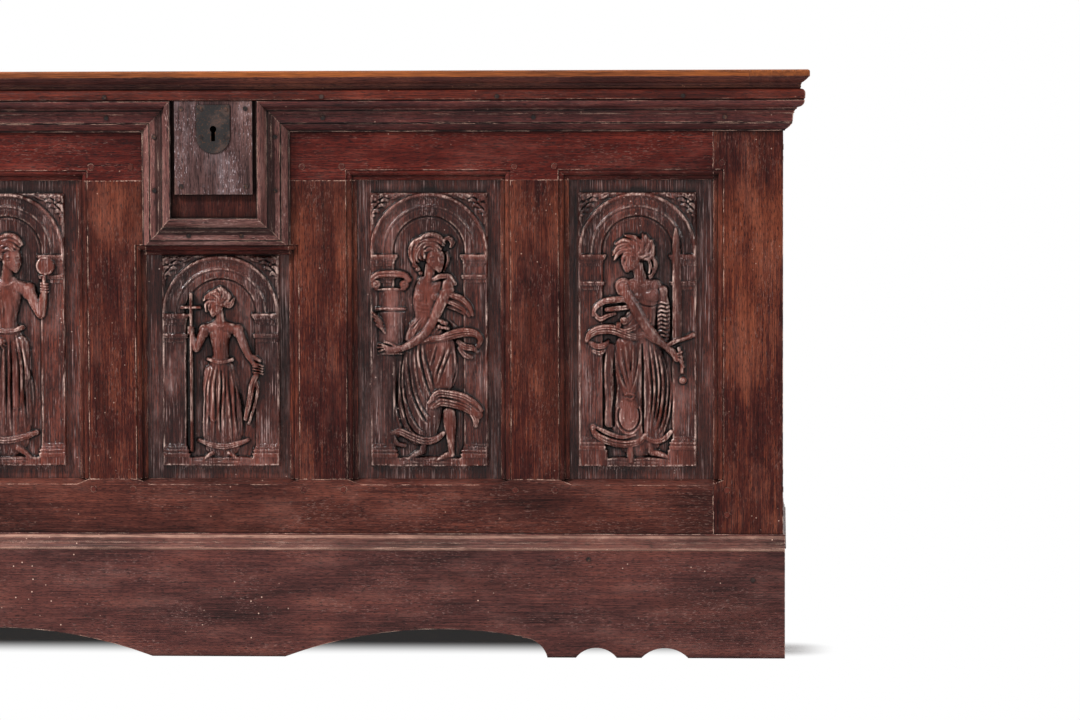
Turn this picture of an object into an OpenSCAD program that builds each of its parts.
// Oak coffer: a joined chest with five carved bays, a moulded lid and a shaped plinth.
// Origin: middle of the outer box, on the floor. +X runs along the front, +Z is up,
// and the carved front faces -Y. Every size is in millimetres.

/* [Frame] */
// Width of one bay between the faces of its two uprights
opening_w = 247; // [238:1:260]
// Height of a full bay between the faces of its rails
opening_h = 465.5; // [450:0.5:490]
// Width of the face of a muntin, the upright between two bays
muntin_w = 72; // [72:1:96]
// Width of the face of a corner stile
stile_w = 89; // [87:1:120]
// Thickness of every stile, rail and muntin
frame_t = 35; // [35:1:45]
// Height of the top rails
top_rail_h = 120; // [116:1:140]
// Height of the bottom rails
bottom_rail_h = 97.5; // [92:0.5:120]
// Height of the lock rail that shortens the middle bay
lock_rail_h = 112; // [104:1:125]
// Depth of the framed body from front face to back face
body_d = 640; // [560:5:740]

/* [Joints] */
// Thickness of the grooves and mortices
groove_t = 12; // [10:0.5:12]
// Distance from a frame face to its groove
groove_in = 15; // [14:0.5:16]
// Depth of the panel grooves
groove_depth = 10; // [8:0.5:12]
// Length of the rail tenons in the front and back stiles
rail_tenon = 58; // [45:1:58]
// Length of the rail tenons of the two end frames
end_tenon = 25; // [18:1:26]
// Length of the muntin tenons
muntin_tenon = 45; // [30:1:50]
// Width of the muntin tenons
muntin_tenon_w = 70; // [69.5:0.5:70]
// Step from the edge of a rail to its tenon
tenon_step = 8; // [7:1:9]
// Clearance round a tenon in its mortice
tenon_fit = 0.1; // [0.1:0.05:0.3]
// Radius of a frame peg
peg_r = 4.3; // [3.5:0.1:5]
// Length of a peg inside the frame
peg_l = 30; // [26:1:32]
// Clearance round a peg
peg_fit = 0.05; // [0.05:0.01:0.1]
// How far a peg stands out of the face
peg_proud = 0.6; // [0.2:0.1:1.5]

/* [Panels] */
// Thickness of a panel
panel_t = 11.8; // [8:0.1:11.8]
// Clearance between the edge of a panel and the bottom of its groove
panel_clear = 0.5; // [0.3:0.1:2]
// Width of the moulding worked on the edge of a carved bay
mould_w = 15.5; // [15:0.5:17]
// Height of the chamfer on the edge of a sill
sill_drop = 8; // [5:0.5:10]
// Margin of bare panel at each side of the carving
field_side = 19.5; // [15:0.5:24]
// Margin of bare panel under the carving
field_under = 19.5; // [12:0.5:22]
// Margin of bare panel above the carving
field_over = 19; // [12:0.5:22]
// Straight part of an arch between its imposts and its curve
arch_stilt = 5; // [0:0.5:8]
// How far the carved field stands out of its panel
field_proud = 8; // [5:0.5:9]
// Depth of the niche below the front of the carved field
niche_sunk = 5.5; // [4:0.5:7]
// Width of a pilaster beside the niche
pilaster_w = 36; // [34:1:42]
// Height of the steps and ground under the niche
ground_h = 14; // [8:1:20]

/* [Cornice] */
// Height of the nosed upper moulding
nosing_h = 15.5; // [14:0.5:20]
// Height of the whole cornice
cornice_h = 62.5; // [62.5:0.5:70]
// How far the nosing stands out of the body
nosing_out = 33; // [33:0.5:38]
// Width over the moulded frame of the tablet
tablet_w = 223; // [216:1:238]
// Gap between the tablet frame and the middle bay
tablet_lift = 0; // [0:0.5:4]
// How much is trimmed off the foot of the tablet frame
tablet_trim = 6; // [0:0.5:8]
// Thickness of the board inside the tablet frame
tablet_board_t = 22; // [16:1:24]
// Margin between the board that carries the lock plate and the tablet frame
lock_board_side = 6; // [2.5:0.5:14.5]
// Height of that board
lock_board_h = 140; // [120:1:150]
// Thickness of that board
lock_board_t = 8; // [5:0.5:10]

/* [Lid] */
// Thickness of the lid
lid_t = 28; // [27.5:0.5:36]
// How far the lid's nose stands out of the body
lid_out = 39.5; // [38:0.5:50]
// Gap between the closed lid and the body
lid_gap = 0.5; // [0.4:0.1:1]
// Width of the clamp across each end of the lid
clamp_w = 90; // [70:1:120]
// Thickness of the tongue that a clamp holds
tongue_t = 10; // [8:0.5:12]
// Length of that tongue
tongue_l = 15; // [10:1:30]
// Width of the lid's front plank behind the body's front face
front_plank_d = 296; // [260:1:300]

/* [Plinth] */
// Height of the plinth boards
plinth_h = 170; // [150:1:200]
// Height of the moulded lip above the boards
lip_h = 16; // [12:0.5:20]
// How far the front board stands out of the body
plinth_out = 10; // [8:0.5:14]
// How far the end boards stand out of the body
plinth_side_out = 3; // [2:0.5:6]
// Thickness of the front board
plinth_t = 28; // [24:1:34]
// Thickness of the end and back boards
plinth_side_t = 25; // [20:1:30]
// Half the width of the flat foot in the middle
centre_foot = 101; // [80:1:120]
// Rise of the long arches of the apron
apron_rise = 42.5; // [36:0.5:60]
// Radius of the long arches of the apron
apron_r = 685; // [600:5:800]
// Place of the top of a long arch, from the middle
apron_x = 338; // [328:1:343]
// Radius of the round end of a long arch
apron_end_r = 39; // [36:0.5:41]
// Place of the round end of a long arch, from the middle
apron_end_x = 459; // [453:1:463]
// Rise of the two scallops
scallop_rise = 15; // [10:0.5:20]
// Width of the inner scallop at the foot
scallop_w = 61.5; // [52:0.5:64]
// Width of the outer scallop at the foot
outer_scallop_w = 70.5; // [60:0.5:76]
// Place of the inner scallop, from the middle
scallop_x = 570.5; // [566:0.5:578]
// Distance between the two scallops
scallop_pitch = 103; // [94:1:112]
// Radius of the arch under each end
end_arch_r = 500; // [450:5:600]
// Rise of the arch under each end
end_arch_rise = 42; // [30:1:55]
// Side of a corner block
corner_block = 50; // [40:1:60]
// Width of the two glue blocks behind the front board
glue_block_w = 44; // [30:1:60]
// Height of the two glue blocks
glue_block_h = 50; // [44:1:80]

/* [Floor] */
// Thickness of the floor boards
floor_t = 18; // [12:1:22]
// Height of the floor boards above the foot of the frame
floor_up = 15; // [10:1:20]
// Depth of the grooves that hold the floor boards
floor_groove = 7; // [5:0.5:7.5]
// Gap between two floor boards
board_gap = 0.4; // [0.3:0.1:1]

/* [Hinges] */
// Distance from the end of the body to the middle of a hinge
hinge_in = 290.5; // [150:0.5:450]
// Width of a hinge strap and leaf
hinge_w = 38; // [36:1:50]
// Thickness of a hinge strap and leaf
hinge_t = 3; // [2.5:0.1:4]
// Distance from the end of a hinge strap to the front plank of the lid
strap_stop = 24; // [14:1:120]
// Height of the leaf on the back
leaf_h = 110; // [80:1:120]
// Radius of the hinge knuckles
knuckle_r = 6; // [5.5:0.1:7]
// Length of one knuckle
knuckle_l = 12; // [11:0.5:14]
// Radius of the hinge pin
pin_r = 3; // [2:0.1:3.5]
// Running clearance round the hinge pin
pin_fit = 0.06; // [0.03:0.01:0.09]
// Gap between a knuckle and what it passes
knuckle_gap = 0.5; // [0.4:0.1:1]

/* [Lock] */
// Width of the lock case
lock_w = 110; // [108:1:130]
// Height of the lock case
lock_h = 96; // [90:1:110]
// Depth of the lock case inside the front
lock_d = 20; // [20:0.5:24]
// Thickness of the plates of the lock case
lock_t = 2; // [1.5:0.1:2.4]
// Distance from the top of the body to the top of the lock case
lock_down = 7; // [6:0.5:12]
// Distance from the top of the body to the eye of the keyhole
keyhole_down = 58; // [54:1:64]
// Radius of the eye of the keyhole
keyhole_r = 5; // [4.5:0.1:6]
// Width of the slot of the keyhole
keyhole_slot_w = 6; // [5.6:0.1:7]
// Length of the slot below the eye
keyhole_slot_l = 18; // [16:1:22]
// Height of the bolt
bolt_h = 10; // [8:0.5:12]
// Thickness of the bolt
bolt_t = 4; // [3:0.1:4.5]
// Travel of the bolt
bolt_travel = 14; // [12:0.5:14]
// Clearance round the bolt in its guides
bolt_fit = 0.3; // [0.2:0.05:0.4]
// Place of the lid staple along the front, from the keyhole
staple_x = 32; // [31:0.5:33]
// Width of the escutcheon
plate_w = 50; // [44:1:70]
// Height of the escutcheon
plate_h = 72; // [64:1:90]
// Thickness of the escutcheon
plate_t = 1.5; // [1:0.1:3]

/* [Nails] */
// Radius of a nail's shank
nail_r = 1.5; // [1.2:0.1:2]
// Radius of a nail's head
nail_head_r = 3.2; // [2.6:0.1:4.5]
// Height of a nail's head
nail_head_h = 1.2; // [0.8:0.1:2]
// Clearance round a nail's shank
nail_fit = 0.05; // [0.03:0.01:0.1]
// How deep a nail goes into the frame
nail_hold = 18; // [12:1:20]

/* [Hidden] */

oak = "#5c3220";
carved_oak = "#4a2a22";
pale_oak = "#7a5a48";
lid_oak = "#8a4a1e";
iron = "#3a3836";

// roundness of true circles, and of the carved masses
$fn = 64;
carve_fn = 8;
arch_fn = 40;
// overshoot of a cut past a face
cut = 1;

// --- places worked out from the sizes above ---
bays = 5;
pitch = opening_w + muntin_w;
body_w = bays * opening_w + (bays - 1) * muntin_w + 2 * stile_w;
stile_in = body_w / 2 - stile_w;
rail_end = stile_in - mould_w;
seat = plinth_h;
sill = seat + bottom_rail_h;
head = sill + opening_h;
lock_head = head - lock_rail_h;
shoulder = head - mould_w;
lock_shoulder = lock_head - mould_w;
body_top = head + top_rail_h;
lid_low = body_top + lid_gap;
lid_top = lid_low + lid_t;
hinge_back = knuckle_r + knuckle_gap;
hinge_x = body_w / 2 - hinge_in;
strap_l = body_d - front_plank_d - strap_stop;
overall_d = lid_out + body_d + hinge_back + knuckle_r;
front_y = lid_out - overall_d / 2;
back_y = front_y + body_d;
mid_y = (front_y + back_y) / 2;
inner_w = body_w - 2 * frame_t;
inner_d = body_d - 2 * frame_t;
tenon_y0 = groove_in + tenon_fit;
tenon_y1 = groove_in + groove_t - tenon_fit;
end_opening_w = (inner_d - muntin_w) / 2;
back_opening_w = (body_w - 2 * stile_w - 2 * muntin_w) / 3;
cornice_run = cornice_h - nosing_h;
tablet_in = tablet_w / 2 - cornice_run;
lock_board_w = 2 * (tablet_in - lock_board_side);
tablet_top = body_top - nosing_h;
tablet_low = lock_head + tablet_lift;
tablet_rest = tablet_low - tablet_trim + cornice_run;
keyhole_z = body_top - keyhole_down;
plate_out = tablet_board_t + lock_board_t;

function bay_x(i) = i * pitch;
function bay_head(i) = i == 0 ? lock_head : head;
function bay_shoulder(i) = bay_head(i) - mould_w;
function muntin_x(i) = (i - 2.5) * pitch;

// --- building blocks ---
module block(low, high) {
    translate(low) cube(high - low);
}

module along_x(x0, x1) {
    translate([x0, 0, 0]) rotate([90, 0, 90]) linear_extrude(height = x1 - x0) children();
}

module along_y(y0, y1) {
    translate([0, y1, 0]) rotate([90, 0, 0]) linear_extrude(height = y1 - y0) children();
}

module along_z(z0, z1) {
    translate([0, 0, z0]) linear_extrude(height = z1 - z0) children();
}

module at(places) {
    for (p = places) translate(p) children();
}

// A wall is drawn flat: x along it, y inwards from its outer face, z up.
module in_front() {
    translate([0, front_y, 0]) children();
}

module in_back() {
    translate([0, back_y, 0]) rotate([0, 0, 180]) children();
}

module in_right() {
    translate([body_w / 2, mid_y, 0]) rotate([0, 0, 90]) children();
}

module in_left() {
    mirror([1, 0, 0]) in_right() children();
}

function arc(cx, cy, r, a0, a1, steps) =
    [for (k = [0:steps]) let (a = a0 + (a1 - a0) * k / steps) [cx + r * cos(a), cy + r * sin(a)]];

// --- mortice and tenon ---
module mortice(low, high) {
    grow = [tenon_fit, tenon_fit, tenon_fit];
    block(low - grow, high + grow);
}

// the tenon at the right end of a rail that spans z0 to z1 and ends at x
module rail_tenon_right(x, z0, z1, length) {
    block([x - cut, tenon_y0, z0 + tenon_step], [x + length, tenon_y1, z1 - tenon_step]);
}

module rail_mortice_right(x, z0, z1, length) {
    mortice([x, tenon_y0, z0 + tenon_step], [x + length, tenon_y1, z1 - tenon_step]);
}

module both_ends() {
    children();
    mirror([1, 0, 0]) children();
}

module muntin_tenons(x, z0, z1) {
    block([x - muntin_tenon_w / 2, tenon_y0, z0 - muntin_tenon],
          [x + muntin_tenon_w / 2, tenon_y1, z1 + muntin_tenon]);
}

module muntin_mortices(x, z0, z1) {
    grow = [tenon_fit, tenon_fit, tenon_fit];
    block([x - muntin_tenon_w / 2, tenon_y0, z0 - muntin_tenon] - grow,
          [x + muntin_tenon_w / 2, tenon_y1, z0 + cut] + grow);
    block([x - muntin_tenon_w / 2, tenon_y0, z1 - cut] - grow,
          [x + muntin_tenon_w / 2, tenon_y1, z1 + muntin_tenon] + grow);
}

// --- pegs: [x, z] in each wall ---
peg_pair = 30;
peg_over = 5;
peg_under = 15.5;
stile_peg_top = 13;
stile_peg_low = 20.5;
stile_peg_rise = 10;
high_peg_edge = 33;
low_peg_edge = floor_up + floor_t + 12;
end_peg_in = frame_t / 2;
high_peg_z = body_top - high_peg_edge;
low_peg_zs = [sill - peg_under, seat + low_peg_edge];

front_pegs = concat(
    [for (i = [1:4], s = [-1, 1]) [muntin_x(i) + s * peg_pair, head + peg_over]],
    [for (i = [1:4], s = [-1, 1]) [muntin_x(i) + s * peg_pair, sill - peg_under]],
    [for (s = [-1, 1]) [s * (rail_end + stile_peg_top), head + stile_peg_rise]],
    [for (s = [-1, 1], z = low_peg_zs) [s * (rail_end + stile_peg_low), z]]);
end_pegs = concat(
    [for (s = [-1, 1], z = concat([head + high_peg_edge], low_peg_zs)) [s * (body_d / 2 - end_peg_in), z]],
    [[0, head + 2 * peg_over], [0, sill - peg_under]]);
back_muntin_x = (back_opening_w + muntin_w) / 2;
back_pegs = concat(
    [for (s = [-1, 1]) [s * back_muntin_x, head + 2 * peg_over]],
    [for (s = [-1, 1]) [s * back_muntin_x, sill - peg_under]],
    [for (s = [-1, 1], z = concat([head + high_peg_edge, high_peg_z], low_peg_zs))
        [s * (stile_in + stile_peg_low), z]]);
// pegs that the cornice covers are cut off flush
front_flush_pegs = [for (s = [-1, 1]) [s * (rail_end + stile_peg_top), high_peg_z]];
end_flush_pegs = [for (s = [-1, 1]) [s * (body_d / 2 - end_peg_in), high_peg_z]];

module pegs(list, proud) {
    for (p = list) translate([p.x, -proud, p.y]) rotate([-90, 0, 0])
        cylinder(r = peg_r, h = peg_l + proud);
}

module peg_holes(list) {
    for (p = list) translate([p.x, -cut, p.y]) rotate([-90, 0, 0])
        cylinder(r = peg_r + peg_fit, h = peg_l + cut + tenon_fit);
}

// --- bays ---
// section of the worked edge: [distance from the face edge, depth]
ovolo_edge = concat(
    [[0, -cut], [0, 1.6], [1.4, 1.6]],
    arc(1.9, 7.8, 6.2, -90, 0, 6),
    [[8.1, 10.2], [mould_w - 5.5, 10.2], [mould_w - 2.2, 11], [mould_w, 12.8], [mould_w, frame_t + cut]]);
stop_w = 20;

// a bay with worked edges on three sides and a chamfered sill, and its panel groove
module carved_bay(i) {
    h = bay_head(i) - sill;
    left = [for (p = ovolo_edge) [p.x - opening_w / 2, p.y]];
    right = [for (k = [len(left) - 1:-1:0]) [-left[k].x, left[k].y]];
    top = [for (k = [len(ovolo_edge) - 1:-1:0]) [ovolo_edge[k].y, h - ovolo_edge[k].x]];
    foot = [[-cut, 0], [frame_t + cut, 0]];
    translate([bay_x(i), 0, sill]) {
        intersection() {
            along_z(0, h + cut) polygon(concat(left, right));
            along_x(-opening_w / 2 - cut, opening_w / 2 + cut) polygon(concat(foot, top));
        }
        // the chamfer runs out in a slanting stop at each end
        intersection() {
            along_y(-cut, groove_in) polygon([[-opening_w / 2 + 1, 0], [opening_w / 2 - 1, 0],
                [opening_w / 2 - stop_w, -sill_drop], [-opening_w / 2 + stop_w, -sill_drop]]);
            along_x(-opening_w / 2, opening_w / 2)
                polygon([[-cut, 0], [-cut, -sill_drop], [0, -sill_drop], [groove_in - 2, 0]]);
        }
        block([-opening_w / 2 + mould_w - groove_depth, groove_in, -groove_depth],
              [opening_w / 2 - mould_w + groove_depth, groove_in + groove_t,
               h - mould_w + groove_depth]);
    }
}

module plain_bay(x, w) {
    block([x - w / 2, -cut, sill], [x + w / 2, frame_t + cut, head]);
    block([x - w / 2 - groove_depth, groove_in, sill - groove_depth],
          [x + w / 2 + groove_depth, groove_in + groove_t, head + groove_depth]);
}

module plain_panel(x, w) {
    reach = groove_depth - panel_clear;
    slack = (groove_t - panel_t) / 2;
    block([x - w / 2 - reach, groove_in + slack, sill - reach],
          [x + w / 2 + reach, groove_in + groove_t - slack, head + reach]);
}

// --- floor ---
floor_z = seat + floor_up;

module floor_cut() {
    block([-inner_w / 2 - floor_groove, mid_y - inner_d / 2 - floor_groove, floor_z],
          [inner_w / 2 + floor_groove, mid_y + inner_d / 2 + floor_groove, floor_z + floor_t]);
}

module floor_boards() {
    slack = tenon_fit;
    span = inner_d + 2 * floor_groove - 2 * slack;
    board_w = (span - 2 * board_gap) / 3;
    color(pale_oak) for (k = [0:2]) {
        y = mid_y - span / 2 + k * (board_w + board_gap);
        block([-inner_w / 2 - floor_groove + slack, y, floor_z],
              [inner_w / 2 + floor_groove - slack, y + board_w, floor_z + floor_t - slack]);
    }
}

// --- nails: [x, z, how far the nailed face stands out, length] on the front ---
cornice_nail_z = body_top - 41.5;
nosing_nail_z = body_top - 10;
fascia_out = 15.1;
first_nail_x = tablet_w / 2 + 51.5;
nosing_nails = [for (s = [-1, 1], x = [first_nail_x, pitch * 4 / 3, pitch * 11 / 5])
    [s * x, nosing_nail_z, nosing_out, nosing_out + nail_hold]];
cornice_nails = [for (s = [-1, 1], x = [first_nail_x, pitch * 3 / 2, stile_in + 2.5])
    [s * x, cornice_nail_z, fascia_out, fascia_out + nail_hold]];
fascia_down = 27;
tablet_rim = tablet_in + fascia_down;
tablet_nails = concat(
    [for (s = [-1, 1], z = [head + 50, head - 30]) [s * tablet_rim, z, fascia_out, fascia_out + nail_hold]],
    [for (s = [-1, 1]) [s * 40, tablet_rest - fascia_down, fascia_out, fascia_out + nail_hold]]);
board_nails = [for (s = [-1, 1], z = [tablet_top - 12, tablet_top - lock_board_h + 12])
    [s * (lock_board_w / 2 - 10), z, plate_out, plate_out + nail_hold]];
plate_nails = [for (s = [-1, 1], z = [plate_h / 2 - 6, -plate_h / 2 + 24])
    [s * (plate_w / 2 - 6), keyhole_z + z, plate_out + plate_t, plate_t + lock_board_t]];
plinth_nail_x = 559;
plinth_nails = concat(
    [for (s = [-1, 1]) [s * plinth_nail_x, seat - 21.5, plinth_out, plinth_t + nail_hold]],
    [for (s = [-1, 1]) [s * (body_w / 2 - corner_block + 5), seat - 52, plinth_out, plinth_t + nail_hold]]);

module nail(length) {
    translate([0, 0, -nail_head_h]) cylinder(r = nail_head_r, h = nail_head_h);
    translate([0, 0, -nail_head_h / 2]) cylinder(r = nail_r, h = length + nail_head_h / 2);
}

module nail_hole(length) {
    translate([0, 0, -cut]) cylinder(r = nail_r + nail_fit, h = length + 2 * cut);
}

module front_nails(list) {
    in_front() for (n = list) translate([n[0], -n[2], n[1]]) rotate([-90, 0, 0]) nail(n[3]);
}

module front_nail_holes(list) {
    in_front() for (n = list) translate([n[0], -n[2], n[1]]) rotate([-90, 0, 0]) nail_hole(n[3]);
}

// --- front frame ---
// where the tenons of the top rail start, clear of the panel grooves
top_tenon_low = shoulder + 4;

module stile_front_right() {
    color(oak) difference() {
        in_front() block([rail_end, 0, seat], [body_w / 2, frame_t, body_top]);
        in_front() {
            carved_bay(2);
            rail_mortice_right(rail_end, top_tenon_low, body_top, rail_tenon);
            rail_mortice_right(rail_end, seat, sill, rail_tenon);
            peg_holes([for (p = concat(front_pegs, front_flush_pegs)) if (p.x > rail_end) p]);
        }
        end_frame_cuts();
        floor_cut();
        front_nail_holes([for (n = cornice_nails) if (n.x > rail_end) n]);
    }
}

module stile_back_right() {
    color(oak) difference() {
        mirror([0, 1, 0]) translate([0, -2 * mid_y, 0]) in_front()
            block([stile_in, 0, seat], [body_w / 2, frame_t, body_top]);
        mirror([0, 1, 0]) translate([0, -2 * mid_y, 0]) in_front() {
            rail_mortice_right(stile_in, head, body_top, rail_tenon);
            rail_mortice_right(stile_in, seat, sill, rail_tenon);
            peg_holes([for (p = back_pegs) if (p.x > stile_in) p]);
        }
        in_back() plain_bay(-pitch_back(), back_opening_w);
        end_frame_cuts();
        floor_cut();
    }
}

function pitch_back() = back_opening_w + muntin_w;

// what the right end frame takes out of the stiles beside it
module end_frame_cuts() {
    in_right() {
        for (s = [-1, 1]) {
            plain_bay(s * (end_opening_w + muntin_w) / 2, end_opening_w);
            mirror([s < 0 ? 1 : 0, 0, 0]) {
                rail_mortice_right(inner_d / 2, head, body_top, end_tenon);
                rail_mortice_right(inner_d / 2, seat, sill, end_tenon);
            }
        }
        peg_holes(concat(end_pegs, end_flush_pegs));
    }
}

module front_top_rail() {
    color(oak) difference() {
        in_front() difference() {
            union() {
                block([-rail_end, 0, shoulder], [rail_end, frame_t, body_top]);
                both_ends() rail_tenon_right(rail_end, top_tenon_low, body_top, rail_tenon);
            }
            for (i = [-2, -1, 1, 2]) carved_bay(i);
            for (i = [1:4]) muntin_mortices(muntin_x(i), sill, shoulder);
            peg_holes([for (p = concat(front_pegs, front_flush_pegs)) if (p.y > head) p]);
            translate([0, 0, keyhole_z]) along_y(-cut, frame_t + cut) keyhole();
            lock_nail_holes();
        }
        front_nail_holes(nosing_nails);
        front_nail_holes(cornice_nails);
        front_nail_holes([for (n = concat(tablet_nails, board_nails)) if (n.y > shoulder) n]);
    }
}

module front_lock_rail() {
    w = opening_w / 2 - mould_w;
    color(oak) difference() {
        in_front() difference() {
            union() {
                block([-w, 0, lock_shoulder], [w, frame_t, shoulder]);
                both_ends() rail_tenon_right(w, lock_head, shoulder, muntin_tenon - tenon_fit);
            }
            carved_bay(0);
        }
        front_nail_holes([for (n = concat(tablet_nails, board_nails)) if (n.y < shoulder) n]);
    }
}

module front_bottom_rail() {
    color(oak) difference() {
        in_front() difference() {
            union() {
                block([-rail_end, 0, seat], [rail_end, frame_t, sill]);
                both_ends() rail_tenon_right(rail_end, seat, sill, rail_tenon);
            }
            for (i = [-2:2]) carved_bay(i);
            for (i = [1:4]) muntin_mortices(muntin_x(i), sill, shoulder);
            peg_holes([for (p = front_pegs) if (p.y < sill) p]);
        }
        floor_cut();
    }
}

module front_muntin(i) {
    x = muntin_x(i);
    left = i - 3;
    right = i - 2;
    color(oak) in_front() difference() {
        union() {
            block([x - muntin_w / 2 - mould_w, 0, sill], [x + muntin_w / 2 + mould_w, frame_t, shoulder]);
            muntin_tenons(x, sill, shoulder);
        }
        carved_bay(left);
        carved_bay(right);
        if (left == 0 || right == 0)
            both_ends() rail_mortice_right(opening_w / 2 - mould_w, lock_head, shoulder, muntin_tenon);
        peg_holes([for (p = front_pegs) if (abs(p.x - x) < muntin_w / 2) p]);
    }
}

// --- carved panels: x from the middle of the bay, z from the foot of the carving ---
field_w = opening_w - 2 * (mould_w + field_side);
field_z = sill + field_under;
// the carvings don't all sit in the middle of their panels
field_shifts = [2, -2, 4, 0, -5.5];
field_front = groove_in - field_proud;
niche_y = field_front + niche_sunk;
niche_w = field_w - 2 * pilaster_w;
arch_r = field_w / 2 - 0.5;
figure_w = 178;
full_field_h = shoulder - field_over - field_z;

function field_h(i) = i == 0 ? lock_shoulder - 1 - field_z : full_field_h;
function stilt(h) = h < full_field_h ? 0 : arch_stilt;

// the architecture of a niche: arch, imposts, pilasters and ground
module niche_field(h) {
    centre = h - arch_r - 0.5;
    spring = centre - stilt(h);
    half = field_w / 2;
    ring = [[0.955, 0.8, 2.6], [0.78, 0.755, 1.4], [0.72, 0.6, 3.2]];
    difference() {
        block([-half, field_front, 0], [half, groove_in + cut, h]);
        // niche
        along_y(field_front - cut, niche_y) union() {
            translate([0, centre]) circle(r = niche_w / 2 + 2, $fn = arch_fn);
            translate([-niche_w / 2, ground_h]) square([niche_w, centre - ground_h]);
        }
        // grooves of the arch moulding
        for (g = ring) along_y(field_front - cut, field_front + g[2]) difference() {
            translate([0, centre]) circle(r = arch_r * g[0], $fn = arch_fn);
            translate([0, centre]) circle(r = arch_r * g[1], $fn = arch_fn);
            translate([-half, centre - h]) square([field_w, h]);
        }
        // sunk corners above the arch
        along_y(field_front - cut, field_front + 2.4) difference() {
            translate([-half - cut, centre]) square([field_w + 2 * cut, h]);
            translate([0, centre]) circle(r = arch_r, $fn = arch_fn);
        }
        // pilaster shafts between cap and base
        both_ends() {
            block([niche_w / 2 - cut, field_front - cut, 40], [half + cut, field_front + 2.5, spring - 34]);
            block([niche_w / 2 - cut, field_front - cut, spring - 28], [half + cut, field_front + 1.6, spring - 12]);
            block([niche_w / 2 - cut, field_front - cut, ground_h + 10], [half + cut, field_front + 1.2, 32]);
        }
    }
    // leaves in the corners
    both_ends() for (leaf = [[8.5, 9, 8], [22.5, 7, 6], [6.5, 26, 7], [5.5, 44, 5]])
        along_y(field_front + 0.6, field_front + 3) translate([half - leaf.x, h - leaf.y])
            circle(r = leaf.z, $fn = carve_fn);
    // impost moulding
    both_ends() along_x(niche_w / 2 - 7, half)
        polygon([[field_front - 1.5, spring + 1], [field_front + 4, spring + 3], [field_front + 4, spring - 12],
                 [field_front, spring - 11], [field_front - 1.5, spring - 3]]);
}

// one carved mass: [x, z, radius, how far forward] at each end
module limb(a, b) {
    hull() {
        translate([a[0], -a[3], a[1]]) sphere(r = a[2], $fn = carve_fn);
        translate([b[0], -b[3], b[1]]) sphere(r = b[2], $fn = carve_fn);
    }
}

// the masses are flattened into low relief on the ground of the niche
relief_flat = 0.42;

module relief(h) {
    in_field(h) translate([0, niche_y, 0]) scale([1, relief_flat, 1]) children();
}

// keeps a carved form inside the panel and off the frame around it
module in_field(h) {
    intersection() {
        children();
        block([-field_w / 2, -2, 0], [field_w / 2, groove_in + 4, h]);
    }
}

// a robed standing woman; arms, feet and drapery differ from panel to panel
module robed_body(turn) {
    limb([2 * turn, 326, 20, 6], [4 * turn, 316, 16, 8]);
    limb([-8 * turn, 338, 17, 2], [10 * turn, 340, 17, 2]);
    limb([-18 * turn, 330, 12, 2], [-22 * turn, 312, 10, 0]);
    limb([0, 302, 9, 6], [0, 286, 12, 4]);
    limb([-22, 268, 15, 4], [24, 269, 15, 4]);
    limb([0, 258, 24, 2], [0, 214, 20, 4]);
    limb([-14, 192, 20, 4], [16, 190, 22, 4]);
    limb([-14, 182, 22, 4], [-30, 62, 20, 0]);
    limb([4, 180, 22, 6], [2, 52, 20, 4]);
    limb([20, 180, 20, 4], [32, 62, 18, 0]);
    limb([-44, 46, 9, 4], [2, 46, 13, 6]);
    limb([2, 46, 13, 6], [44, 50, 9, 2]);
    limb([-12, 32, 7, 8], [-28, 18, 6, 8]);
    limb([22, 34, 7, 8], [36, 20, 6, 8]);
}

module arm(shoulder, elbow, wrist, hand) {
    limb([shoulder.x, shoulder.y, 12, 8], [elbow.x, elbow.y, 10, 14]);
    limb([elbow.x, elbow.y, 10, 14], [wrist.x, wrist.y, 7, 14]);
    limb([wrist.x, wrist.y, 7, 14], [hand.x, hand.y, 5, 12]);
}

// Temperance pours from a jug
module temperance() {
    robed_body(-1);
    arm([-32, 266], [-52, 226], [-40, 200], [-46, 206]);
    arm([34, 266], [46, 226], [22, 188], [10, 184]);
    limb([-56, 214, 12, 12], [-56, 196, 9, 12]);
    limb([2, 166, 11, 18], [2, 158, 8, 18]);
    limb([-54, 184, 3, 10], [-8, 172, 3, 16]);
}

// Prudence looks into a mirror
module prudence() {
    robed_body(1);
    arm([34, 266], [52, 230], [58, 268], [58, 276]);
    arm([-32, 266], [-44, 222], [-16, 190], [-4, 188]);
    limb([59, 300, 15, 6], [59, 302, 15, 6]);
    limb([58, 286, 4, 8], [58, 262, 4, 10]);
}

// Faith holds a tall cross
module faith() {
    robed_body(1);
    arm([-32, 266], [-48, 228], [-56, 262], [-58, 270]);
    arm([34, 266], [50, 224], [70, 204], [74, 192]);
    limb([-58, 330, 4, 12], [-58, 60, 4, 12]);
    limb([-74, 306, 4, 12], [-42, 306, 4, 12]);
}

// Fortitude holds a column
module fortitude() {
    robed_body(1);
    arm([30, 270], [4, 224], [-36, 186], [-56, 178]);
    arm([-28, 264], [-50, 240], [-70, 226], [-76, 222]);
    limb([30, 262, 10, 2], [60, 240, 8, 0]);
    limb([-10, 206, 9, 14], [28, 212, 8, 12]);
    limb([28, 210, 9, 8], [68, 192, 9, 0]);
    limb([18, 104, 14, 8], [60, 90, 11, 2]);
    limb([30, 82, 9, 8], [28, 24, 7, 8]);
}

module fortitude_column() {
    along_y(niche_y - 8, niche_y + cut) union() {
        translate([-79, 14]) square([41, 256]);
        translate([-88, 268]) square([58, 26]);
        translate([-86, 14]) square([52, 18]);
    }
}

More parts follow.
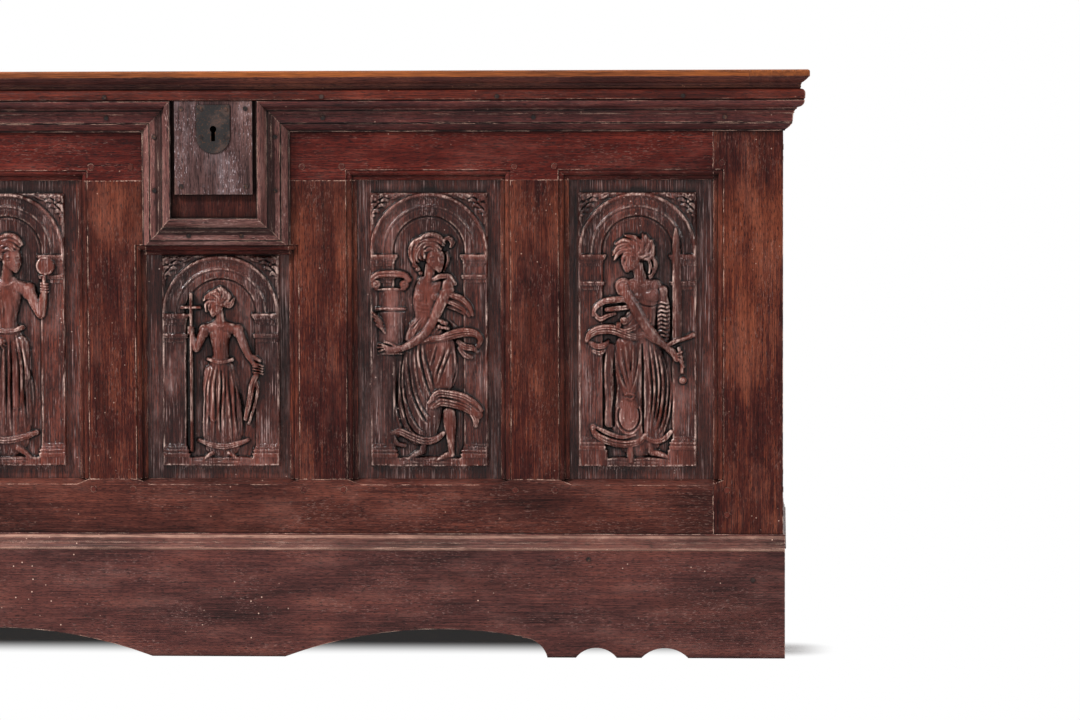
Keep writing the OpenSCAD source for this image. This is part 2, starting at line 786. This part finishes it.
// Justice holds a sword
module justice() {
    robed_body(-1);
    arm([-16, 256], [3, 217], [42, 180], [60, 152]);
    arm([34, 264], [44, 236], [34, 204], [30, 198]);
    limb([-28, 274, 11, 8], [-20, 262, 10, 10]);
    limb([-26, 250, 9, 4], [-66, 236, 8, 0]);
    limb([-66, 198, 9, 2], [-8, 194, 9, 12]);
    limb([-8, 194, 8, 14], [36, 172, 7, 10]);
    limb([-19, 176, 16, 12], [-19, 92, 14, 12]);
    limb([-70, 48, 8, 2], [-14, 40, 9, 6]);
}

module justice_sword() {
    along_y(niche_y - 10, niche_y + cut) union() {
        polygon([[47, 130], [61, 130], [60, 330], [52, 362], [48, 330]]);
        polygon([[37, 172], [41, 183], [88, 202], [84, 189]]);
        translate([64, 129]) circle(r = 7, $fn = carve_fn);
    }
}

module carved_panel(i) {
    w = opening_w / 2 - mould_w + groove_depth - panel_clear;
    slack = (groove_t - panel_t) / 2;
    low = sill - groove_depth + panel_clear;
    high = bay_shoulder(i) + groove_depth - panel_clear;
    grow = (field_h(i) / full_field_h) * (field_w / figure_w);
    color(carved_oak) in_front() union() {
        block([bay_x(i) - w, groove_in + slack, low], [bay_x(i) + w, groove_in + groove_t - slack, high]);
        translate([bay_x(i) + field_shifts[i + 2], 0, field_z]) {
            niche_field(field_h(i));
            relief(field_h(i)) scale([grow, 1, grow]) {
                if (i == -2) temperance();
                if (i == -1) prudence();
                if (i == 0) faith();
                if (i == 1) fortitude();
                if (i == 2) justice();
            }
            if (i == 1) in_field(field_h(i)) scale([grow, 1, grow]) fortitude_column();
            if (i == 2) in_field(field_h(i)) scale([grow, 1, grow]) justice_sword();
        }
    }
}

// --- end and back frames ---
module right_top_rail() {
    end_rail(head, body_top);
}

module right_bottom_rail() {
    end_rail(seat, sill);
}

module end_rail(z0, z1) {
    color(oak) difference() {
        in_right() difference() {
            union() {
                block([-inner_d / 2, 0, z0], [inner_d / 2, frame_t, z1]);
                both_ends() rail_tenon_right(inner_d / 2, z0, z1, end_tenon);
            }
            for (s = [-1, 1]) plain_bay(s * (end_opening_w + muntin_w) / 2, end_opening_w);
            muntin_mortices(0, sill, head);
            peg_holes([for (p = concat(end_pegs, end_flush_pegs)) if (p.y > z0 && p.y < z1) p]);
        }
        floor_cut();
    }
}

module right_muntin() {
    color(oak) in_right() difference() {
        union() {
            block([-muntin_w / 2, 0, sill], [muntin_w / 2, frame_t, head]);
            muntin_tenons(0, sill, head);
        }
        for (s = [-1, 1]) plain_bay(s * (end_opening_w + muntin_w) / 2, end_opening_w);
        peg_holes([for (p = end_pegs) if (p.x == 0) p]);
    }
}

module right_panels() {
    color(oak) in_right() for (s = [-1, 1])
        plain_panel(s * (end_opening_w + muntin_w) / 2, end_opening_w);
}

module back_rail(z0, z1) {
    color(oak) difference() {
        in_back() difference() {
            union() {
                block([-stile_in, 0, z0], [stile_in, frame_t, z1]);
                both_ends() rail_tenon_right(stile_in, z0, z1, rail_tenon);
            }
            for (k = [-1:1]) plain_bay(k * pitch_back(), back_opening_w);
            for (s = [-1, 1]) muntin_mortices(s * back_muntin_x, sill, head);
            peg_holes([for (p = back_pegs) if (p.y > z0 && p.y < z1) p]);
        }
        floor_cut();
        if (z1 == body_top) leaf_nail_holes();
    }
}

module back_muntins() {
    color(oak) in_back() for (s = [-1, 1]) difference() {
        union() {
            block([s * back_muntin_x - muntin_w / 2, 0, sill], [s * back_muntin_x + muntin_w / 2, frame_t, head]);
            muntin_tenons(s * back_muntin_x, sill, head);
        }
        for (k = [-1:1]) plain_bay(k * pitch_back(), back_opening_w);
        peg_holes([for (p = back_pegs) if (p.x == s * back_muntin_x) p]);
    }
}

module back_panels() {
    color(oak) in_back() for (k = [-1:1]) plain_panel(k * pitch_back(), back_opening_w);
}

module frame_pegs() {
    color(oak) {
        in_front() pegs(front_pegs, peg_proud);
        in_right() pegs(end_pegs, peg_proud);
        in_left() pegs(end_pegs, peg_proud);
        in_back() pegs(back_pegs, peg_proud);
        in_front() pegs(front_flush_pegs, 0);
        in_right() pegs(end_flush_pegs, 0);
        in_left() pegs(end_flush_pegs, 0);
    }
}

// --- cornice: [how far out, how far down] ---
nosing_edge = concat(
    [[0, 0]],
    arc(nosing_out - 6.5, 6.5, 6.5, -90, 0, 6),
    [[nosing_out - 0.5, nosing_h - 1.5], [nosing_out - 2.5, nosing_h], [0, nosing_h]]);

run_out = nosing_out - 1;
run_edge = concat(
    [[0, 0], [run_out - 1.5, 0]],
    arc(run_out - 10, 1.5, 10, 0, 75, 6),
    [[21, 12.2], [20, 14]],
    arc(21, 19, 4.5, 260, 180, 4),
    [[16.5, 20.5], [15.2, 21], [14, 33.5], [12.4, 34], [13.8, 35], [13, 36.4]],
    [[11.6, 38], [9.4, 40.6], [6.5, 43], [4, 44.6], [3, 45.4], [2.6, cornice_run], [0, cornice_run]]);

// what lies in front of the body between the mitres at its two corners
module front_mitres() {
    reach = 60;
    along_z(0, lid_top) polygon([[-body_w / 2, 0], [body_w / 2, 0],
        [body_w / 2 + reach, -reach], [-body_w / 2 - reach, -reach]]);
}

// the same at one end: mitred in front, square at the back
module end_mitre() {
    reach = 60;
    along_z(0, lid_top) polygon([[-body_d / 2, 0], [body_d / 2, 0],
        [body_d / 2, -reach], [-body_d / 2 - reach, -reach]]);
}

module moulding_x(edge, top, half) {
    along_x(-half, half) polygon([for (p = edge) [-p.x, top - p.y]]);
}

module cornice_nosing() {
    color(oak) difference() {
        in_front() intersection() {
            moulding_x(nosing_edge, body_top, body_w / 2 + nosing_out);
            front_mitres();
        }
        front_nail_holes(nosing_nails);
    }
}

// the run of moulding turns down at 45 degrees beside the tablet
module cornice_front_right() {
    color(oak) difference() {
        in_front() intersection() {
            moulding_x(run_edge, tablet_top, body_w / 2 + nosing_out);
            front_mitres();
            along_y(-nosing_out - cut, cut) polygon([[tablet_in, tablet_top], [body_w, tablet_top],
                [body_w, tablet_top - cornice_run], [tablet_w / 2, tablet_top - cornice_run]]);
        }
        front_nail_holes(cornice_nails);
    }
}

module cornice_end_right() {
    color(oak) in_right() intersection() {
        union() {
            moulding_x(nosing_edge, body_top, body_d);
            moulding_x(run_edge, tablet_top, body_d);
        }
        end_mitre();
    }
}

module tablet_frame_right() {
    color(oak) difference() {
        in_front() intersection() {
            along_z(tablet_low, tablet_top) polygon([for (p = run_edge) [tablet_in + p.y, -p.x]]);
            along_y(-nosing_out - cut, cut) polygon([[tablet_in, tablet_top],
                [tablet_w / 2, tablet_top - cornice_run], [tablet_w / 2, tablet_low],
                [tablet_w / 2 - tablet_trim, tablet_low], [tablet_in, tablet_rest]]);
        }
        front_nail_holes(tablet_nails);
    }
}

module tablet_frame_bottom() {
    color(oak) difference() {
        in_front() intersection() {
            moulding_x(run_edge, tablet_rest, tablet_w / 2);
            along_y(-nosing_out - cut, cut) polygon([[-tablet_in, tablet_rest], [tablet_in, tablet_rest],
                [tablet_w / 2 - tablet_trim, tablet_low], [tablet_trim - tablet_w / 2, tablet_low]]);
        }
        front_nail_holes(tablet_nails);
    }
}

module keyhole() {
    circle(r = keyhole_r);
    translate([-keyhole_slot_w / 2, -keyhole_slot_l]) square([keyhole_slot_w, keyhole_slot_l]);
}

module tablet_board() {
    color(pale_oak) difference() {
        in_front() difference() {
            block([-tablet_in, -tablet_board_t, tablet_rest], [tablet_in, 0, tablet_top]);
            translate([0, 0, keyhole_z]) along_y(-tablet_board_t - cut, cut) keyhole();
        }
        front_nail_holes(board_nails);
    }
}

module lock_board() {
    color(pale_oak) difference() {
        in_front() difference() {
            block([-lock_board_w / 2, -plate_out, tablet_top - lock_board_h],
                  [lock_board_w / 2, -tablet_board_t, tablet_top]);
            translate([0, 0, keyhole_z]) along_y(-plate_out - cut, -tablet_board_t + cut) keyhole();
        }
        front_nail_holes(board_nails);
        front_nail_holes(plate_nails);
    }
}

// --- lock ---
// a shield with a straight head and a round foot
module escutcheon() {
    color(iron) difference() {
        in_front() translate([0, 0, keyhole_z]) along_y(-plate_out - plate_t, -plate_out) difference() {
            union() {
                translate([-plate_w / 2, -plate_h / 2 + plate_w / 2]) square([plate_w, plate_h - plate_w / 2]);
                translate([0, -plate_h / 2 + plate_w / 2]) circle(r = plate_w / 2);
            }
            keyhole();
        }
        front_nail_holes(plate_nails);
    }
}

lock_top = body_top - lock_down;
lock_low = lock_top - lock_h;
lock_y = frame_t;
bolt_mid_y = lock_y + lock_d / 2;
bolt_mid_z = lock_top - 14;
bolt_end = staple_x - 4.5;
bolt_l = bolt_end + 34;
guide_w = 6;
guide_xs = [-18, staple_x - 12, staple_x + 5];
staple_t = 6;
staple_d = 10;
staple_plate = [60, 16, 3];
eye_clear = 0.5;
slot_clear = [6, 2];
ear = [12, 20, 2];
ear_zs = [lock_low + 6, lock_top - 32];

module lock_case() {
    color(iron) in_front() difference() {
        union() {
            difference() {
                block([-lock_w / 2, lock_y, lock_low], [lock_w / 2, lock_y + lock_d, lock_top]);
                block([-lock_w / 2 + lock_t, lock_y - cut, lock_low + lock_t],
                      [lock_w / 2 - lock_t, lock_y + lock_d - lock_t, lock_top - lock_t]);
                block([staple_x - staple_t / 2 - slot_clear.x, bolt_mid_y - staple_d / 2 - slot_clear.y,
                       lock_top - lock_t - cut],
                      [staple_x + staple_t / 2 + slot_clear.x, bolt_mid_y + staple_d / 2 + slot_clear.y,
                       lock_top + cut]);
            }
            for (x = guide_xs) difference() {
                block([x, bolt_mid_y - bolt_t / 2 - 2, bolt_mid_z - bolt_h / 2 - 5],
                      [x + guide_w, lock_y + lock_d - lock_t / 2, bolt_mid_z + bolt_h / 2 + 5]);
                block([x - cut, bolt_mid_y - bolt_t / 2 - bolt_fit, bolt_mid_z - bolt_h / 2 - bolt_fit],
                      [x + guide_w + cut, bolt_mid_y + bolt_t / 2 + bolt_fit, bolt_mid_z + bolt_h / 2 + bolt_fit]);
            }
            for (s = [-1, 1], z = ear_zs)
                block([s > 0 ? lock_w / 2 - lock_t : -lock_w / 2 - ear.x, lock_y, z],
                      [s > 0 ? lock_w / 2 + ear.x : -lock_w / 2 + lock_t, lock_y + ear.z, z + ear.y]);
        }
        lock_nail_holes();
    }
}

module at_lock_nails() {
    for (s = [-1, 1], z = ear_zs)
        translate([s * (lock_w + ear.x) / 2, lock_y + ear.z, z + ear.y / 2]) rotate([90, 0, 0]) children();
}

module lock_nail_holes() {
    at_lock_nails() nail_hole(nail_hold);
}

// the bolt with the talon that the key pushes, drawn unlocked
module lock_bolt() {
    color(iron) in_front() {
        block([bolt_end - bolt_l, bolt_mid_y - bolt_t / 2, bolt_mid_z - bolt_h / 2],
              [bolt_end, bolt_mid_y + bolt_t / 2, bolt_mid_z + bolt_h / 2]);
        block([-8, bolt_mid_y - bolt_t / 2, bolt_mid_z - bolt_h / 2 - 15],
              [0, bolt_mid_y + bolt_t / 2, bolt_mid_z - bolt_h / 2 + cut]);
    }
}

module lid_staple() {
    window_z = bolt_mid_z;
    color(iron) in_front() difference() {
        union() {
            block([staple_x - staple_plate.x / 2, bolt_mid_y - staple_plate.y / 2, lid_low - staple_plate.z],
                  [staple_x + staple_plate.x / 2, bolt_mid_y + staple_plate.y / 2, lid_low]);
            block([staple_x - staple_t / 2, bolt_mid_y - staple_d / 2, window_z - bolt_h / 2 - 7],
                  [staple_x + staple_t / 2, bolt_mid_y + staple_d / 2, lid_low - cut]);
        }
        block([staple_x - staple_t, bolt_mid_y - bolt_t / 2 - eye_clear, window_z - bolt_h / 2 - 2 * eye_clear],
              [staple_x + staple_t, bolt_mid_y + bolt_t / 2 + eye_clear, window_z + bolt_h / 2 + 2 * eye_clear]);
        at_staple_nails() nail_hole(staple_plate.z);
    }
}

module at_staple_nails() {
    for (s = [-1, 1])
        translate([staple_x + s * (staple_plate.x / 2 - 8), bolt_mid_y, lid_low - staple_plate.z]) children();
}

// --- lid: edge as [how far out, height above the underside] ---
lid_edge = [
    [lid_out - 14, 0], [lid_out - 12.8, 3.4], [lid_out - 13.6, 4.2], [lid_out - 11.8, 8.6], [lid_out - 10.2, 9.4],
    [lid_out - 6.6, 12], [lid_out - 3.6, 14.8], [lid_out - 1.6, 17], [lid_out - 0.5, 17.4],
    [lid_out, 18.6], [lid_out, lid_t - 2.6], [lid_out - 1, lid_t - 0.9], [lid_out - 3, lid_t]];
joint_y = front_y + front_plank_d;

module lid_blank() {
    half = body_w / 2;
    front = [for (p = lid_edge) [front_y - p.x, lid_low + p.y]];
    right = [for (p = lid_edge) [half + p.x, lid_low + p.y]];
    left = [for (k = [len(right) - 1:-1:0]) [-right[k].x, right[k].y]];
    intersection() {
        along_x(-half - lid_out, half + lid_out) polygon(concat([[back_y, lid_low]], front, [[back_y, lid_top]]));
        along_y(front_y - lid_out, back_y) polygon(concat(right, left));
    }
}

module tongues(grow) {
    mid = lid_low + lid_t / 2;
    x = body_w / 2 + lid_out - clamp_w;
    block([-x - tongue_l - grow, front_y + 30 - grow, mid - tongue_t / 2 - grow],
          [x + tongue_l + grow, back_y - 30 + grow, mid + tongue_t / 2 + grow]);
}

module lid_plank(y0, y1) {
    x = body_w / 2 + lid_out - clamp_w;
    intersection() {
        union() {
            intersection() {
                lid_blank();
                block([-x, y0, lid_low - cut], [x, y1, lid_top + cut]);
            }
            tongues(0);
        }
        block([-body_w, y0, lid_low - cut], [body_w, y1, lid_top + cut]);
    }
}

module lid_plank_front() {
    color(lid_oak) difference() {
        lid_plank(front_y - lid_out - cut, joint_y);
        in_front() at_staple_nails() nail_hole(nail_hold);
    }
}

module lid_plank_back() {
    color(lid_oak) difference() {
        lid_plank(joint_y, back_y);
        both_ends() strap_recess();
        both_ends() at_strap_nails() nail_hole(nail_hold);
    }
}

module lid_clamp_right() {
    x = body_w / 2 + lid_out - clamp_w;
    color(lid_oak) difference() {
        intersection() {
            lid_blank();
            block([x, front_y - lid_out - cut, lid_low - cut], [body_w, back_y + cut, lid_top + cut]);
        }
        tongues(tenon_fit);
    }
}

// --- hinges ---
axis_y = back_y + hinge_back;
axis_z = body_top;
strap_nail_ys = [for (k = [0:3]) 50 + k * (strap_l - 80) / 3];
leaf_nail_zs = [22, 55, 88];

module strap_recess() {
    block([hinge_x - hinge_w / 2 - tenon_fit, back_y - strap_l - tenon_fit, lid_low - cut],
          [hinge_x + hinge_w / 2 + tenon_fit, back_y + cut, lid_low + hinge_t]);
}

module knuckle(x0, x1) {
    translate([x0, axis_y, axis_z]) rotate([0, 90, 0]) cylinder(r = knuckle_r, h = x1 - x0);
}

module pin_bore() {
    translate([hinge_x - hinge_w, axis_y, axis_z]) rotate([0, 90, 0])
        cylinder(r = pin_r + pin_fit, h = 2 * hinge_w);
}

module hinge_strap_right() {
    inner = knuckle_l / 2;
    outer = knuckle_l * 3 / 2;
    color(iron) difference() {
        union() {
            block([hinge_x - hinge_w / 2, back_y - strap_l, lid_low], [hinge_x + hinge_w / 2, back_y, lid_low + hinge_t]);
            for (x = [hinge_x - outer, hinge_x + inner]) {
                knuckle(x, x + knuckle_l);
                block([x, back_y - cut, lid_low], [x + knuckle_l, axis_y, lid_low + hinge_t]);
            }
        }
        pin_bore();
        at_strap_nails() nail_hole(hinge_t);
    }
}

module hinge_leaf_right() {
    half = knuckle_l / 2 - knuckle_gap / 2;
    top = axis_z - knuckle_r - knuckle_gap;
    color(iron) difference() {
        union() {
            block([hinge_x - hinge_w / 2, back_y, top - leaf_h], [hinge_x + hinge_w / 2, back_y + hinge_t, top]);
            block([hinge_x - half, back_y, top - cut], [hinge_x + half, axis_y, axis_z]);
            knuckle(hinge_x - half, hinge_x + half);
        }
        pin_bore();
        leaf_nail_holes_at() nail_hole(nail_hold);
    }
}

module hinge_pins() {
    reach = knuckle_l * 3 / 2 + knuckle_gap;
    color(iron) both_ends() translate([hinge_x, axis_y, axis_z]) rotate([0, 90, 0]) {
        translate([0, 0, -reach - cut]) cylinder(r = pin_r, h = 2 * (reach + cut));
        at([[0, 0, -reach - 1.5], [0, 0, reach]]) cylinder(r = pin_r + 1.5, h = 1.5);
    }
}

module at_strap_nails() {
    for (y = strap_nail_ys) translate([hinge_x, back_y - y, lid_low]) children();
}

module leaf_nail_holes_at() {
    top = axis_z - knuckle_r - knuckle_gap;
    for (z = leaf_nail_zs) translate([hinge_x, back_y + hinge_t, top - z]) rotate([90, 0, 0]) children();
}

module leaf_nail_holes() {
    both_ends() leaf_nail_holes_at() nail_hole(nail_hold + hinge_t);
}

module case_nails() {
    color(iron) {
        front_nails(concat(nosing_nails, cornice_nails, tablet_nails, board_nails, plate_nails, plinth_nails));
        both_ends() leaf_nail_holes_at() nail(nail_hold + hinge_t);
        in_front() at_lock_nails() nail(nail_hold);
    }
}

module lid_nails() {
    color(iron) {
        both_ends() at_strap_nails() nail(nail_hold);
        in_front() at_staple_nails() nail(nail_hold);
    }
}

// --- plinth ---
plinth_end_x = body_w / 2 + plinth_side_out;

module long_arch() {
    intersection() {
        translate([apron_x, apron_rise - apron_r]) circle(r = apron_r, $fn = 180);
        translate([centre_foot, -cut]) square([apron_end_x - centre_foot, apron_rise + 2 * cut]);
    }
    translate([apron_end_x, apron_rise - 12.5 - apron_end_r]) circle(r = apron_end_r);
}

// an arc cut into the foot: place of its middle, width at the foot
module scallop(x, w) {
    r = (pow(w / 2, 2) + pow(scallop_rise, 2)) / (2 * scallop_rise);
    translate([x, scallop_rise - r]) circle(r = r);
}

module apron_outline() {
    difference() {
        translate([-plinth_end_x, 0]) square([2 * plinth_end_x, plinth_h + lip_h]);
        for (s = [0, 1]) mirror([s, 0]) {
            long_arch();
            scallop(scallop_x, scallop_w);
            scallop(scallop_x + scallop_pitch, outer_scallop_w);
        }
    }
}

// the lip hides the joint between plinth and frame
function lip_edge(out) = concat(
    [[-out, plinth_h - 8.5]],
    arc(-out, plinth_h - 6, 1.7, 270, 90, 4),
    [[-out * 0.78, plinth_h - 4], [-out * 0.7, plinth_h + 2], [-out * 0.5, plinth_h + 3.4],
     [-out * 0.42, plinth_h + 9], [-out * 0.24, plinth_h + 11], [-out * 0.2, plinth_h + lip_h],
     [0, plinth_h + lip_h], [0, plinth_h - 8.5]]);

module plinth_front() {
    inner = plinth_t - plinth_out;
    color(oak) difference() {
        in_front() intersection() {
            union() {
                along_x(-plinth_end_x, plinth_end_x)
                    polygon([[-plinth_out, 0], [inner, 0], [inner, plinth_h], [-plinth_out * 0.7, plinth_h], [-plinth_out, plinth_h - 5]]);
                along_x(-plinth_end_x, plinth_end_x) polygon(lip_edge(plinth_out));
            }
            along_y(-plinth_out - 5, inner + cut) apron_outline();
        }
        front_nail_holes(plinth_nails);
    }
}

module plinth_right() {
    x0 = -body_d / 2 + plinth_t - plinth_out;
    x1 = body_d / 2;
    color(oak) in_right() difference() {
        union() {
            block([x0, -plinth_side_out, 0], [x1, plinth_side_t - plinth_side_out, plinth_h]);
            along_x(x0, x1) polygon(lip_edge(plinth_side_out));
        }
        translate([(x0 + x1) / 2, 0, end_arch_rise - end_arch_r]) rotate([90, 0, 0])
            translate([0, 0, -plinth_side_t]) cylinder(r = end_arch_r, h = 2 * plinth_side_t, $fn = 180);
    }
}

module plinth_back() {
    half = plinth_end_x - plinth_side_t;
    color(oak) in_back() block([-half, 0, 0], [half, plinth_side_t, plinth_h]);
}

module plinth_blocks() {
    x = plinth_end_x - plinth_side_t;
    y0 = front_y - plinth_out + plinth_t;
    y1 = back_y - plinth_side_t;
    color(pale_oak) difference() {
        both_ends() {
            block([x - corner_block, y0, 0], [x, y0 + corner_block, plinth_h]);
            block([x - corner_block, y1 - corner_block, 0], [x, y1, plinth_h]);
            block([plinth_nail_x - glue_block_w / 2, y0, plinth_h - glue_block_h],
                  [plinth_nail_x + glue_block_w / 2, y0 + glue_block_w, plinth_h]);
        }
        front_nail_holes(plinth_nails);
    }
}

module left_of() {
    mirror([1, 0, 0]) children();
}

left_of() stile_front_right();  // stile_front_left
stile_front_right();
left_of() stile_back_right();  // stile_back_left
stile_back_right();
front_top_rail();
front_lock_rail();
front_bottom_rail();
front_muntin(1);  // front_muntin_1
front_muntin(2);  // front_muntin_2
front_muntin(3);  // front_muntin_3
front_muntin(4);  // front_muntin_4
carved_panel(-2);  // carved_panel_1
carved_panel(-1);  // carved_panel_2
carved_panel(0);  // carved_panel_3
carved_panel(1);  // carved_panel_4
carved_panel(2);  // carved_panel_5
left_of() right_top_rail();  // left_top_rail
left_of() right_bottom_rail();  // left_bottom_rail
left_of() right_muntin();  // left_muntin
left_of() right_panels();  // left_panels
right_top_rail();
right_bottom_rail();
right_muntin();
right_panels();
back_rail(head, body_top);  // back_top_rail
back_rail(seat, sill);  // back_bottom_rail
back_muntins();
back_panels();
floor_boards();
frame_pegs();
cornice_nosing();
left_of() cornice_front_right();  // cornice_front_left
cornice_front_right();
left_of() cornice_end_right();  // cornice_end_left
cornice_end_right();
left_of() tablet_frame_right();  // tablet_frame_left
tablet_frame_right();
tablet_frame_bottom();
tablet_board();
lock_board();
escutcheon();
lock_case();
lock_bolt();
lid_staple();
lid_plank_front();
lid_plank_back();
left_of() lid_clamp_right();  // lid_clamp_left
lid_clamp_right();
left_of() hinge_strap_right();  // hinge_strap_left
hinge_strap_right();
left_of() hinge_leaf_right();  // hinge_leaf_left
hinge_leaf_right();
hinge_pins();
plinth_front();
left_of() plinth_right();  // plinth_left
plinth_right();
plinth_back();
plinth_blocks();
case_nails();
lid_nails();
